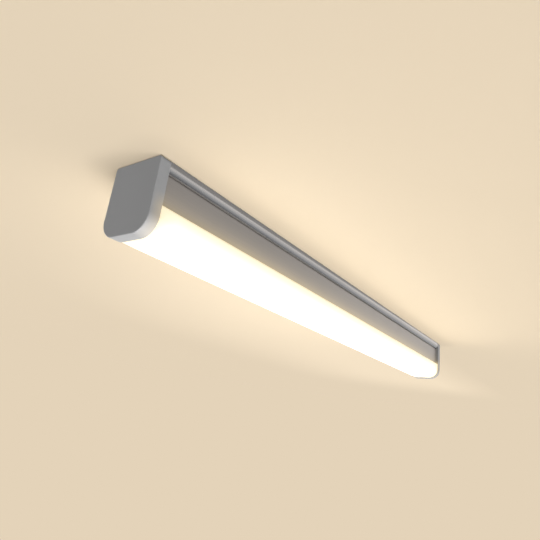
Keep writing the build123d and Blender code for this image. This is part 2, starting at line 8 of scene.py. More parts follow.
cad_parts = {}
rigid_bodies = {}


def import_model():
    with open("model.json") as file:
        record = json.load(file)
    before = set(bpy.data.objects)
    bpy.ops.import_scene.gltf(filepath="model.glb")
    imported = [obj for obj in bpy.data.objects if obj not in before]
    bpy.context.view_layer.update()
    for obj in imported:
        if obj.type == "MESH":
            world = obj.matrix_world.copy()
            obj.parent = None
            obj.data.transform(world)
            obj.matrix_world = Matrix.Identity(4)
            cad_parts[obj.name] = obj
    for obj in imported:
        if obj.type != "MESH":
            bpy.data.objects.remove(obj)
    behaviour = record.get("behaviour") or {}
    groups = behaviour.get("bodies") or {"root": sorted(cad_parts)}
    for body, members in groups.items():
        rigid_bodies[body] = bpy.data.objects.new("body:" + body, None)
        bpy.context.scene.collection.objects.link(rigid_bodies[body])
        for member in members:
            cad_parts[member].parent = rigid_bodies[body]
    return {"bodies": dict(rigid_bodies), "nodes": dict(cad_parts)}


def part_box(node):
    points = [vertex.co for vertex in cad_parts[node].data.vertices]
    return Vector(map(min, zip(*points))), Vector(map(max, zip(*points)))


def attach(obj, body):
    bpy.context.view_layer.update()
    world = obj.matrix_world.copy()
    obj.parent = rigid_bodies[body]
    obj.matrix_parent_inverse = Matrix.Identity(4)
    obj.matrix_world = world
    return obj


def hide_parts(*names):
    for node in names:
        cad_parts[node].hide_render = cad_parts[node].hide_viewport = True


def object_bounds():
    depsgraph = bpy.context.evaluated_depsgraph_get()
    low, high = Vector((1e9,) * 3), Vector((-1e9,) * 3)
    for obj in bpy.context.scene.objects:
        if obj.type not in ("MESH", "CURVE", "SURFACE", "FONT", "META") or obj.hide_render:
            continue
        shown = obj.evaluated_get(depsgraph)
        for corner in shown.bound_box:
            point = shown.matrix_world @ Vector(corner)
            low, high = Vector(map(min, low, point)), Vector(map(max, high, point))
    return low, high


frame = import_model()
nodes = frame["nodes"]
bodies = frame["bodies"].values()
for stray in [thing for thing in bpy.data.objects if thing.name not in nodes and thing not in bodies]:
    bpy.data.objects.remove(stray)
cadLow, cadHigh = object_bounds()
mm = 0.001  # the dictionaries below are in millimetres
print("frame loaded:", len(nodes), "nodes")

# where the covers begin and the walls end, for the finishes that change there
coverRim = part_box("right_end_cover")[0].x / mm
wallFoot = -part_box("housing")[0].z / mm


# drawing helpers
drawing = {
    "mirrorGap": 0.001, "mergeGap": 0.002, "planeGap": 0.01,  # points this close count as together
    "cornerSteps": 4, "upperSteps": 6, "lowerSteps": 24, "rodSteps": 40, "smoothAngle": 35,
    "proud": 1.0,  # how far a cutting tool stands out of the piece
}


def soften(bm, geom, affect, radius, steps):
    bmesh.ops.bevel(
        bm, geom=geom, offset=radius * mm, offset_type="OFFSET", affect=affect,
        segments=steps, profile=0.5, material=-1,
    )


def drawLine(bm, x, moves):
    # a pen line across the batten at x: "to" runs straight, "round" leaves a soft corner
    # and "arc" swings about a centre
    tip, corners = None, []
    for kind, y, z, *more in moves:
        if kind == "arc":
            angle, steps = more
            swing = bmesh.ops.spin(
                bm, geom=[tip], cent=(x, y * mm, z * mm), axis=(1, 0, 0),
                angle=math.radians(angle), steps=steps,
            )
            tip = swing["geom_last"][0]
            continue
        if tip is None:
            tip = bm.verts.new()
        else:
            tip = bmesh.ops.extrude_vert_indiv(bm, verts=[tip])["verts"][0]
        tip.co = (x, y * mm, z * mm)
        if kind == "round":
            corners.append((tip, more[0]))
    for corner, radius in corners:
        soften(bm, [corner], "VERTICES", radius, drawing["cornerSteps"])


def mirrorAcross(bm):
    # the other half of a section that is the same on both sides
    everything = bm.verts[:] + bm.edges[:] + bm.faces[:]
    bmesh.ops.mirror(bm, geom=everything, matrix=Matrix(), merge_dist=drawing["mirrorGap"] * mm, axis="Y")


def roundedRing(bm, x, halfWidth, top, bottom, topRadius, bottomRadius, middle=0.0):
    # a closed ring whose upper and lower corners have their own radius
    left, right = middle - halfWidth, middle + halfWidth
    spots = [(left, top), (right, top), (right, bottom), (left, bottom)]
    ring = [bm.verts.new((x, y * mm, z * mm)) for y, z in spots]
    for a, b in zip(ring, ring[1:] + ring[:1]):
        bm.edges.new((a, b))
    soften(bm, ring[:2], "VERTICES", topRadius, drawing["upperSteps"])
    soften(bm, ring[2:], "VERTICES", bottomRadius, drawing["lowerSteps"])


def endRing(bm, x, low, high, shape):
    # the outline of a cover, plate or gasket
    roundedRing(bm, x, high.y / mm, high.z / mm, low.z / mm, shape["topRadius"], shape["bottomRadius"])


def onlyVerts(geom):
    return [part for part in geom if isinstance(part, bmesh.types.BMVert)]


def onlyFaces(geom):
    return [part for part in geom if isinstance(part, bmesh.types.BMFace)]


def edgesAt(bm, x):
    # edges that lie square across the batten at x
    near = drawing["planeGap"] * mm
    return [edge for edge in bm.edges if all(abs(vert.co.x - x) < near for vert in edge.verts)]


def fillAndExtrude(bm, length):
    # fills the closed lines, holes left open, and draws the face out along the batten
    filled = bmesh.ops.triangle_fill(bm, use_beauty=True, edges=bm.edges[:])["geom"]
    drawn = bmesh.ops.extrude_face_region(bm, geom=onlyFaces(filled))["geom"]
    bmesh.ops.translate(bm, verts=onlyVerts(drawn), vec=(length, 0, 0))


def addRod(bm, middle, axis, radius, length, steps):
    turn = Vector(axis).to_track_quat("Z", "Y").to_matrix().to_4x4()
    place = Matrix.Translation(middle) @ turn
    bmesh.ops.create_cone(
        bm, cap_ends=True, cap_tris=False, segments=steps, radius1=radius * mm, radius2=radius * mm,
        depth=length * mm, matrix=place,
    )


def addRodsAlong(bm, x, spots, radius, length):
    # rods along the batten, with their middles at x
    for y, z in spots:
        addRod(bm, (x, y * mm, z * mm), (1, 0, 0), radius, length, drawing["rodSteps"])


def addBlock(bm, middle, size):
    place = Matrix.Translation(middle) @ Matrix.Diagonal((*[s * mm for s in size], 1))
    bmesh.ops.create_cube(bm, size=1, matrix=place)


def carve(bm, tool, operation="DIFFERENCE"):
    # cuts a shape with another, or joins the two
    parts = []
    for name, shape in (("carved", bm), ("carvingTool", tool)):
        bmesh.ops.recalc_face_normals(shape, faces=shape.faces[:])
        mesh = bpy.data.meshes.new(name)
        shape.to_mesh(mesh)
        part = bpy.data.objects.new(name, mesh)
        bpy.context.scene.collection.objects.link(part)
        parts.append(part)
    cut = parts[0].modifiers.new("cut", "BOOLEAN")
    cut.operation = operation
    cut.solver = "EXACT"
    cut.object = parts[1]
    ready = parts[0].evaluated_get(bpy.context.evaluated_depsgraph_get())
    result = bpy.data.meshes.new_from_object(ready)
    bm.clear()
    bm.from_mesh(result)
    tool.free()
    for mesh in [part.data for part in parts] + [result]:
        bpy.data.meshes.remove(mesh)  # takes the scratch object with it


def mergeClose(bm):
    bmesh.ops.remove_doubles(bm, verts=bm.verts[:], dist=drawing["mergeGap"] * mm)


def makePiece(name, bm, finish, body, node):
    mergeClose(bm)
    bmesh.ops.recalc_face_normals(bm, faces=bm.faces[:])
    openEdges = sum(not edge.is_manifold for edge in bm.edges)
    mesh = bpy.data.meshes.new(name)
    bm.to_mesh(mesh)
    bm.free()
    mesh.shade_smooth()
    mesh.set_sharp_from_angle(angle=math.radians(drawing["smoothAngle"]))
    mesh.materials.append(finish)
    piece = bpy.data.objects.new(name, mesh)
    bpy.context.scene.collection.objects.link(piece)
    even = piece.modifiers.new("evenNormals", "WEIGHTED_NORMAL")
    even.keep_sharp = True
    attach(piece, body)
    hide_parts(node)
    print("made", name, "with", len(mesh.polygons), "faces,", openEdges, "open edges")


# shader helpers

def put(tree, kind, sockets, **settings):
    node = tree.nodes.new("ShaderNode" + kind)
    for key, value in settings.items():
        setattr(node, key, value)
    for key, value in sockets.items():
        if isinstance(value, bpy.types.NodeSocket):
            tree.links.new(value, node.inputs[key])
        else:
            node.inputs[key].default_value = value
    return node


def calc(tree, operation, *values, **settings):
    return put(tree, "Math", dict(enumerate(values)), operation=operation, **settings).outputs[0]


def spread(tree, value, start, end, low=0.0, high=1.0, curve="LINEAR"):
    # takes the run from start to end to the run from low to high
    sockets = {"Value": value, "From Min": start, "From Max": end, "To Min": low, "To Max": high}
    return put(tree, "MapRange", sockets, interpolation_type=curve).outputs[0]


def mixValues(tree, share, first, second):
    return put(tree, "Mix", {0: share, 2: first, 3: second}, data_type="FLOAT").outputs[0]


def mixColours(tree, share, first, second):
    sockets = {0: share}
    for number, colour in ((6, first), (7, second)):  # where a Mix node takes its colours
        sockets[number] = colour if isinstance(colour, bpy.types.NodeSocket) else (*colour, 1)
    return put(tree, "Mix", sockets, data_type="RGBA").outputs[2]


def scaleColour(tree, colour, share):
    return put(tree, "VectorMath", {0: colour, "Scale": share}, operation="SCALE").outputs[0]


def axesOf(tree, where):
    return put(tree, "SeparateXYZ", {0: where}).outputs


# shader groups that several finishes share
patternLook = {
    "cloudDetail": 3, "toneStart": 0.3, "toneEnd": 0.7,
    "smudgeScale": 2.7, "smudgeDetail": 5, "smudgeRough": 0.65, "smudgeStart": 0.5, "smudgeEnd": 0.72,
    "grainDetail": 3, "grainShare": 0.35,
    "lineStretch": (0.012, 1, 1), "lineDetail": 4, "lineRough": 0.6, "lineShare": 0.6,
    "speckleShare": 0.5, "weaveWobble": 0.4, "weaveShare": 0.4,
}


def startGroup(name):
    # every pattern takes the same inputs and gives the same outputs, so any finish can use any pattern
    group = bpy.data.node_groups.new(name, "ShaderNodeTree")
    group.interface.new_socket("Vector", in_out="INPUT", socket_type="NodeSocketVector")
    for label in ("Fine", "Broad"):
        group.interface.new_socket(label, in_out="INPUT", socket_type="NodeSocketFloat")
    for label in ("Tone", "Height", "Smudge"):
        group.interface.new_socket(label, in_out="OUTPUT", socket_type="NodeSocketFloat")
    start = group.nodes.new("NodeGroupInput")
    end = group.nodes.new("NodeGroupOutput")
    return group, start.outputs, end.inputs


def noise(group, vector, scale, detail, rough=0.5):
    sockets = {"Vector": vector, "Scale": scale, "Detail": detail, "Roughness": rough}
    return put(group, "TexNoise", sockets).outputs["Fac"]


def closeGroup(group, start, end, fine, height, toneShare):
    # broad clouds over the fine pattern, and faint smudges from handling
    look = patternLook
    cloud = noise(group, start["Vector"], start["Broad"], look["cloudDetail"])
    tone = mixValues(group, toneShare, cloud, fine)
    group.links.new(spread(group, tone, look["toneStart"], look["toneEnd"]), end["Tone"])
    group.links.new(height, end["Height"])
    scale = calc(group, "MULTIPLY", start["Broad"], look["smudgeScale"])
    smear = noise(group, start["Vector"], scale, look["smudgeDetail"], look["smudgeRough"])
    group.links.new(spread(group, smear, look["smudgeStart"], look["smudgeEnd"]), end["Smudge"])
    return group


def makeMouldedGrain(look):
    group, start, end = startGroup("mouldedGrain")
    grain = noise(group, start["Vector"], start["Fine"], look["grainDetail"])
    return closeGroup(group, start, end, grain, grain, look["grainShare"])


def makeDrawnLines(look):
    # the lines that a die leaves along an extrusion
    group, start, end = startGroup("drawnLines")
    stretch = {0: start["Vector"], 1: look["lineStretch"]}
    along = put(group, "VectorMath", stretch, operation="MULTIPLY").outputs[0]
    lines = noise(group, along, start["Fine"], look["lineDetail"], look["lineRough"])
    return closeGroup(group, start, end, lines, lines, look["lineShare"])


def makeSpeckle(look):
    group, start, end = startGroup("speckle")
    cells = put(group, "TexVoronoi", {"Vector": start["Vector"], "Scale": start["Fine"]}).outputs
    tint = put(group, "SeparateColor", {0: cells["Color"]}).outputs[0]
    return closeGroup(group, start, end, tint, cells["Distance"], look["speckleShare"])


def makeGlassWeave(look):
    # the cloth of glass fibre under a board's mask
    group, start, end = startGroup("glassWeave")
    yarn = {"Vector": start["Vector"], "Scale": start["Fine"], "Distortion": look["weaveWobble"]}
    across, along = (
        put(group, "TexWave", yarn, bands_direction=direction).outputs["Fac"] for direction in ("X", "Y")
    )
    cloth = calc(group, "MULTIPLY", across, along)
    return closeGroup(group, start, end, cloth, cloth, look["weaveShare"])


patterns = {
    "grain": makeMouldedGrain(patternLook),
    "lines": makeDrawnLines(patternLook),
    "speckle": makeSpeckle(patternLook),
    "weave": makeGlassWeave(patternLook),
}
print("shader groups:", ", ".join(group.name for group in patterns.values()))


# finishes

def startFinish(look):
    material = bpy.data.materials.new(look["name"])
    material.use_nodes = True
    tree = material.node_tree
    shader = tree.nodes["Principled BSDF"].inputs
    where = put(tree, "TexCoord", {}).outputs["Object"]
    sockets = {"Vector": where, "Fine": look["fine"], "Broad": look["broad"]}
    pattern = put(tree, "Group", sockets, node_tree=patterns[look["pattern"]]).outputs
    low, high = look["rough"]
    rough = spread(tree, pattern["Tone"], 0.0, 1.0, low, high)
    smeared = calc(tree, "MULTIPLY_ADD", pattern["Smudge"], look["smudge"], rough)
    tree.links.new(smeared, shader["Roughness"])
    relief = {"Height": pattern["Height"], "Strength": look["bump"], "Distance": look["depth"] * mm}
    tree.links.new(put(tree, "Bump", relief).outputs[0], shader["Normal"])
    shader["Metallic"].default_value = look.get("metallic", 0)
    shader["Specular IOR Level"].default_value = look.get("gloss", 0.5)
    return material, tree, shader, where, pattern["Tone"]


def addPaintedDiffuserLight(material, shader, where, look):
    # painted light: a faint warm emission stands in for the lit diffuser's light where a piece stands close
    # to it
    tree = material.node_tree
    spot = axesOf(tree, where)
    share = 1.0
    for axis, (none, full, curve) in look["paintedLightReach"].items():
        away = calc(tree, "ABSOLUTE", spot[axis])
        near = calc(tree, "POWER", spread(tree, away, none * mm, full * mm), curve)
        share = calc(tree, "MULTIPLY", near, share)
    tree.links.new(scaleColour(tree, look["paintedDiffuserLight"], share), shader["Emission Color"])
    shader["Emission Strength"].default_value = 1
    material.cycles.emission_sampling = "NONE"  # it is only seen, and lights nothing


def makeFinish(look):
    material, tree, shader, where, tone = startFinish(look)
    tree.links.new(mixColours(tree, tone, look["dark"], look["light"]), shader["Base Color"])
    # painted light from the diffuser, on the finishes that stand near it
    if "paintedDiffuserLight" in look:
        addPaintedDiffuserLight(material, shader, where, look)
    return material


plateLook = {
    "name": "darkMoulding", "pattern": "grain", "fine": 1900, "broad": 40,
    "dark": (0.075, 0.075, 0.078), "light": (0.115, 0.115, 0.118),
    "rough": (0.5, 0.62), "smudge": 0.08, "bump": 0.25, "depth": 0.06,
}
rubberLook = {
    "name": "blackRubber", "pattern": "grain", "fine": 1600, "broad": 60,
    "dark": (0.012, 0.012, 0.012), "light": (0.03, 0.03, 0.031),
    "rough": (0.62, 0.8), "smudge": 0.1, "bump": 0.3, "depth": 0.06,
}
gasketLook = {
    "name": "paleSilicone", "pattern": "grain", "fine": 1600, "broad": 50,
    "dark": (0.42, 0.42, 0.41), "light": (0.5, 0.5, 0.49),
    "rough": (0.6, 0.75), "smudge": 0.1, "bump": 0.25, "depth": 0.05,
    # painted light: the gasket's lower part glows warm as if lit by the diffuser
    "paintedDiffuserLight": (0.45, 0.33, 0.13), "paintedLightReach": {"Z": (27.0, 34.0, 1)},  # from none, to full, curve
}
siliconeLook = {
    "name": "greySilicone", "pattern": "grain", "fine": 1400, "broad": 50,
    "dark": (0.25, 0.25, 0.24), "light": (0.34, 0.34, 0.33),
    "rough": (0.5, 0.64), "smudge": 0.1, "bump": 0.2, "depth": 0.05,
}
screwLook = {
    "name": "zincScrew", "pattern": "speckle", "fine": 3200, "broad": 160,
    "dark": (0.5, 0.5, 0.48), "light": (0.7, 0.69, 0.66),
    "rough": (0.24, 0.38), "smudge": 0.12, "bump": 0.1, "depth": 0.02, "metallic": 1.0,
}
springLook = {
    "name": "springStrip", "pattern": "lines", "fine": 2600, "broad": 70,
    "dark": (0.4, 0.4, 0.395), "light": (0.62, 0.62, 0.61),
    "rough": (0.22, 0.38), "smudge": 0.12, "bump": 0.14, "depth": 0.03, "metallic": 1.0,
}
boardLook = {
    "name": "whiteBoard", "pattern": "weave", "fine": 420, "broad": 30,
    "dark": (0.76, 0.76, 0.74), "light": (0.84, 0.84, 0.82),
    "rough": (0.3, 0.42), "smudge": 0.08, "bump": 0.06, "depth": 0.02,
}
circuitLook = {
    "name": "greenBoard", "pattern": "weave", "fine": 420, "broad": 60,
    "dark": (0.02, 0.11, 0.045), "light": (0.05, 0.21, 0.09),
    "rough": (0.28, 0.42), "smudge": 0.1, "bump": 0.1, "depth": 0.03,
}
connectorLook = {
    "name": "naturalNylon", "pattern": "grain", "fine": 1500, "broad": 80,
    "dark": (0.74, 0.73, 0.69), "light": (0.83, 0.82, 0.79),
    "rough": (0.3, 0.42), "smudge": 0.08, "bump": 0.12, "depth": 0.04,
}
caseLook = {
    "name": "offWhiteCase", "pattern": "grain", "fine": 1700, "broad": 28,
    "dark": (0.66, 0.66, 0.64), "light": (0.76, 0.76, 0.74),
    "rough": (0.46, 0.58), "smudge": 0.08, "bump": 0.2, "depth": 0.05,
}
terminalLook = {
    "name": "paleTerminal", "pattern": "grain", "fine": 1700, "broad": 70,
    "dark": (0.58, 0.58, 0.57), "light": (0.68, 0.68, 0.67),
    "rough": (0.42, 0.55), "smudge": 0.08, "bump": 0.18, "depth": 0.05,
}
ferriteLook = {
    "name": "sinteredFerrite", "pattern": "speckle", "fine": 1800, "broad": 120,
    "dark": (0.045, 0.045, 0.05), "light": (0.085, 0.085, 0.09),
    "rough": (0.5, 0.7), "smudge": 0.1, "bump": 0.3, "depth": 0.05,
}
sleeveLook = {
    "name": "darkSleeve", "pattern": "grain", "fine": 900, "broad": 120,
    "dark": (0.02, 0.026, 0.05), "light": (0.04, 0.05, 0.085),
    "rough": (0.22, 0.34), "smudge": 0.1, "bump": 0.1, "depth": 0.04,
}
contactLook = {
    "name": "tinnedContact", "pattern": "lines", "fine": 2200, "broad": 120,
    "dark": (0.58, 0.54, 0.46), "light": (0.76, 0.72, 0.64),
    "rough": (0.24, 0.4), "smudge": 0.12, "bump": 0.1, "depth": 0.02, "metallic": 1.0,
}
insulationLook = {
    "pattern": "grain", "fine": 1200, "broad": 90,
    "rough": (0.34, 0.46), "smudge": 0.1, "bump": 0.12, "depth": 0.04,
}
insulationColours = {  # dark and light ends of each lead's colour
    "live": ((0.14, 0.05, 0.022), (0.22, 0.085, 0.04)),
    "neutral": ((0.02, 0.09, 0.34), (0.04, 0.15, 0.48)),
    "positive": ((0.36, 0.018, 0.018), (0.52, 0.04, 0.04)),
    "negative": ((0.02, 0.02, 0.02), (0.045, 0.045, 0.047)),
}

darkMoulding = makeFinish(plateLook)
blackRubber = makeFinish(rubberLook)
paleSilicone = makeFinish(gasketLook)
greySilicone = makeFinish(siliconeLook)
zincScrew = makeFinish(screwLook)
springStrip = makeFinish(springLook)


# housing: an extruded profile with a bead and a groove along the ceiling
housingShape = {
    "beadTop": 22.4, "beadFoot": 21.4, "beadHeight": 8.6, "beadCentre": (14.692, -3.462),
    "beadSweep": -61.58, "beadSteps": 24,
    "grooveDepth": 19.6, "grooveFoot": -9.8, "wall": 20.4, "wallInner": 18.8,
    "slotMouth": 8.0, "slotHalf": 12.0, "slotLip": -1.8, "slotFloor": -7.2,
    "channelInner": 16.7, "channelTop": -26.5, "notchTop": -29.3, "notchFoot": -30.9, "notchDepth": 19.6,
    "ribInner": 15.3, "webTop": -29.0, "webBottom": -30.6, "roof": -9.0, "step": -25.0,
    "pocketMiddle": 17.2, "pocketHalf": 3.6, "pocketRound": 0.8,
    "portSide": 16.2, "portHeights": (-11.6, -22.4), "portRadius": 3.0, "pilotRadius": 1.45,
    "entryGap": 0.1, "entryDrill": 4.0, "entrySteps": 64, "softEdge": 0.35, "fineEdge": 0.15,
}
profileLook = {
    "name": "satinProfile", "pattern": "lines", "fine": 1500, "broad": 18,
    "dark": (0.365, 0.337, 0.315), "light": (0.41, 0.378, 0.354),
    "beadDark": (0.37, 0.372, 0.38), "beadLight": (0.45, 0.452, 0.46),
    "rough": (0.28, 0.36), "smudge": 0.05, "bump": 0.1, "depth": 0.03,
    "metallic": 0.25, "beadMetallic": 0.9, "beadRough": 0.24, "beadBlend": 0.2, "beadReach": 0.6,
    # painted shade in the groove under the bead: how dark, and where
    "grooveShadeTone": 0.75, "grooveStart": 0.05, "grooveEnd": 0.4, "grooveHalf": 0.8,
    # painted light: the wall's foot glows warm as if lit by the diffuser beside it
    "paintedDiffuserLight": (0.31, 0.24, 0.12),
    "paintedLightReach": {
        "X": (440.0, 200.0, 1), "Y": (housingShape["wall"] - 0.4, housingShape["wall"] - 0.1, 1),
        "Z": (wallFoot - 24.0, wallFoot, 3),
    },
}


def portSpots():
    # where the end screws go in
    shape = housingShape
    return [(side * shape["portSide"], z) for side in (-1, 1) for z in shape["portHeights"]]


def makeProfile(look, shape):
    # satin walls under a brighter, drawn bead
    material, tree, shader, where, tone = startFinish(look)
    spot = axesOf(tree, where)
    depth = calc(tree, "ABSOLUTE", spot["Y"])
    wall, beadFoot = shape["wall"], -shape["beadHeight"]
    above = spread(tree, spot["Z"], (beadFoot - look["beadBlend"]) * mm, (beadFoot + look["beadBlend"]) * mm)
    outside = spread(tree, depth, wall * mm, (wall + look["beadReach"]) * mm)
    bead = calc(tree, "MULTIPLY", above, outside)
    satin = mixColours(tree, tone, look["dark"], look["light"])
    bright = mixColours(tree, tone, look["beadDark"], look["beadLight"])
    colour = mixColours(tree, bead, satin, bright)
    # painted shade: the colour is darkened in the groove under the bead, where shade falls
    deep = spread(tree, depth, (wall - look["grooveStart"]) * mm, (wall - look["grooveEnd"]) * mm)
    middle = (shape["grooveFoot"] + beadFoot) / 2
    within = calc(tree, "COMPARE", spot["Z"], middle * mm, look["grooveHalf"] * mm)
    paintedGrooveShade = calc(tree, "MULTIPLY", deep, within)
    colour = scaleColour(tree, colour, spread(tree, paintedGrooveShade, 0.0, 1.0, 1.0, look["grooveShadeTone"]))
    tree.links.new(colour, shader["Base Color"])
    metal = spread(tree, bead, 0.0, 1.0, look["metallic"], look["beadMetallic"])
    tree.links.new(metal, shader["Metallic"])
    wallRough = shader["Roughness"].links[0].from_socket
    tree.links.new(mixValues(tree, bead, wallRough, look["beadRough"]), shader["Roughness"])
    # painted light from the diffuser on the wall's foot
    addPaintedDiffuserLight(material, shader, where, look)
    return material


def makeHousing(shape):
    low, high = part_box("housing")
    x, foot, length = low.x, low.z / mm, high.x - low.x
    soft, fine = shape["softEdge"], shape["fineEdge"]
    bm = bmesh.new()
    drawLine(bm, x, [
        ("to", 0, shape["slotFloor"]),
        ("round", shape["slotHalf"], shape["slotFloor"], soft),
        ("round", shape["slotHalf"], shape["slotLip"], soft),
        ("round", shape["slotMouth"], shape["slotLip"], soft),
        ("round", shape["slotMouth"], 0, soft),
        ("to", shape["beadTop"], 0),
        ("arc", *shape["beadCentre"], shape["beadSweep"], shape["beadSteps"]),
        ("round", shape["beadFoot"] - soft, -shape["beadHeight"], fine),
        ("round", shape["grooveDepth"], -shape["beadHeight"], fine),
        ("round", shape["grooveDepth"], shape["grooveFoot"], fine),
        ("round", shape["wall"], shape["grooveFoot"], soft),
        ("round", shape["wall"], foot, fine),
        ("round", shape["wallInner"], foot, fine),
        ("to", shape["wallInner"], shape["notchFoot"]),
        ("to", shape["notchDepth"], shape["notchFoot"]),
        ("to", shape["notchDepth"], shape["notchTop"]),
        ("to", shape["wallInner"], shape["notchTop"]),
        ("to", shape["wallInner"], shape["channelTop"]),
        ("to", shape["channelInner"], shape["channelTop"]),
        ("to", shape["channelInner"], foot),
        ("round", shape["ribInner"], foot, fine),
        ("to", shape["ribInner"], shape["webBottom"]),
        ("to", 0, shape["webBottom"]),
    ])
    drawLine(bm, x, [
        ("to", 0, shape["roof"]),
        ("to", shape["wallInner"], shape["roof"]),
        ("to", shape["wallInner"], shape["step"]),
        ("to", shape["ribInner"], shape["step"]),
        ("to", shape["ribInner"], shape["webTop"]),
        ("to", 0, shape["webTop"]),
    ])
    mirrorAcross(bm)
    for side in (-1, 1):
        roundedRing(
            bm, x, shape["pocketHalf"], shape["slotLip"], shape["slotFloor"],
            shape["pocketRound"], shape["pocketRound"], side * shape["pocketMiddle"],
        )
    fillAndExtrude(bm, length)
    ports, pilots, entry = bmesh.new(), bmesh.new(), bmesh.new()
    addRodsAlong(ports, 0, portSpots(), shape["portRadius"], length / mm)
    carve(bm, ports, "UNION")
    addRodsAlong(pilots, 0, portSpots(), shape["pilotRadius"], length / mm + 2 * drawing["proud"])
    carve(bm, pilots)
    entryX = sum(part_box("cable_grommet"), Vector()).x / 2
    floorMiddle = (shape["slotFloor"] + shape["roof"]) / 2
    radius = grommetShape["neck"] + shape["entryGap"]
    addRod(entry, (entryX, 0, floorMiddle * mm), (0, 0, 1), radius, shape["entryDrill"], shape["entrySteps"])
    carve(bm, entry)
    makePiece("housingProfile", bm, makeProfile(profileLook, shape), "fixture", "housing")


# diffuser: a lit opal trough with rounded lower corners and barbed legs
opalShape = {
    "legHeight": 4.6, "legOuter": 18.5, "legInner": 17.0, "wall": 1.8, "radius": 13.3, "shoulder": 1.6,
    "barbTop": -29.6, "barbTip": 19.3, "barbSlope": 0.5, "barbHeight": 1.0, "softEdge": 0.5, "curveSteps": 32,
}
opalLook = {
    "name": "litOpal", "pattern": "grain", "fine": 900, "broad": 14,
    "dark": (0.73, 0.7, 0.63), "light": (0.77, 0.74, 0.67),
    "rough": (0.36, 0.46), "smudge": 0.04, "bump": 0.05, "depth": 0.04,
    "glow": 27.0, "core": (1.0, 0.965, 0.9), "rim": (0.0215, 0.017, 0.0085), "castCurve": 1.3,
    "seenCore": (0.048, 0.0465, 0.041),
    "endFade": 22.0, "edgeFade": 25.0, "seenEnd": 16.0, "seenEdge": 18.0,
}


def makeOpal(look, shape):
    material, tree, shader, where, tone = startFinish(look)
    tree.links.new(mixColours(tree, tone, look["dark"], look["light"]), shader["Base Color"])
    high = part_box("diffuser")[1]
    shoulder = high.z - shape["legHeight"] * mm
    spot = axesOf(tree, where)
    away = calc(tree, "ABSOLUTE", spot["X"])

    def fade(value, start, reach, curve):
        return spread(tree, value, start, start - reach * mm, curve=curve)

    # the light falls off to cream at the covers and along the top edges
    ends = fade(away, high.x, look["endFade"], "SMOOTHERSTEP")
    edges = fade(spot["Z"], shoulder, look["edgeFade"], "SMOOTHSTEP")
    lit = calc(tree, "POWER", calc(tree, "MULTIPLY", ends, edges), look["castCurve"])
    cast = mixColours(tree, lit, look["rim"], look["core"])
    # the room gets all of the light, while the camera and mirrors see a plain white
    ends = fade(away, coverRim * mm, look["seenEnd"], "LINEAR")
    edges = fade(spot["Z"], shoulder, look["seenEdge"], "LINEAR")
    seen = mixColours(tree, calc(tree, "MULTIPLY", ends, edges), look["rim"], look["seenCore"])
    ray = put(tree, "LightPath", {}).outputs
    sight = calc(tree, "MAXIMUM", ray["Is Camera Ray"], ray["Is Glossy Ray"])
    tree.links.new(mixColours(tree, sight, cast, seen), shader["Emission Color"])
    shader["Emission Strength"].default_value = look["glow"]
    return material


def makeDiffuser(shape):
    low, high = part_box("diffuser")
    side, foot, legTop = high.y / mm, low.z / mm, high.z / mm
    top = legTop - shape["legHeight"]
    middleY, middleZ = side - shape["radius"], foot + shape["radius"]
    inner, ledge = side - shape["wall"], top - shape["shoulder"]
    barbFoot = shape["barbTop"] - shape["barbHeight"]
    bm = bmesh.new()
    drawLine(bm, low.x, [
        ("to", 0, foot),
        ("to", middleY, foot),
        ("arc", middleY, middleZ, 90, shape["curveSteps"]),
        ("round", side, top, shape["softEdge"]),
        ("to", shape["legOuter"], top),
        ("to", shape["legOuter"], barbFoot),
        ("to", shape["barbTip"], barbFoot),
        ("to", shape["barbTip"], shape["barbTop"] - shape["barbSlope"]),
        ("to", shape["legOuter"], shape["barbTop"]),
        ("to", shape["legOuter"], legTop),
        ("to", shape["legInner"], legTop),
        ("to", shape["legInner"], ledge),
        ("to", inner, ledge),
        ("to", inner, middleZ),
        ("arc", middleY, middleZ, -90, shape["curveSteps"]),
        ("to", 0, foot + shape["wall"]),
    ])
    mirrorAcross(bm)
    fillAndExtrude(bm, high.x - low.x)
    makePiece("diffuserTrough", bm, makeOpal(opalLook, shape), "fixture", "diffuser")


# end covers: hollow caps with three locating pegs
coverShape = {
    "topRadius": 2.5, "bottomRadius": 14.0, "edgeRound": 0.7, "edgeSteps": 5, "rimRound": 0.15, "rimSteps": 2,
    "skin": 1.8, "skirt": 1.0,
    "pegs": ((0, -14.0), (-12.0, -42.0), (12.0, -42.0)), "pegRadius": 2.0, "pegEnd": 6.5, "pegRoot": 0.5,
}
coverLook = {
    "name": "greyMoulding", "pattern": "grain", "fine": 2400, "broad": 26,
    "dark": (0.463, 0.463, 0.466), "light": (0.5, 0.5, 0.503),
    "rough": (0.46, 0.56), "smudge": 0.06, "bump": 0.12, "depth": 0.05, "gloss": 0.25,
    # painted light: the cover's rim beside the diffuser glows warm as if lit by it
    "paintedDiffuserLight": (0.18, 0.115, 0.02),
    "paintedLightReach": {"X": (coverRim + 9.0, coverRim, 1), "Y": (8.0, 18.0, 1), "Z": (24.0, 34.0, 1)},
}
greyMoulding = makeFinish(coverLook)


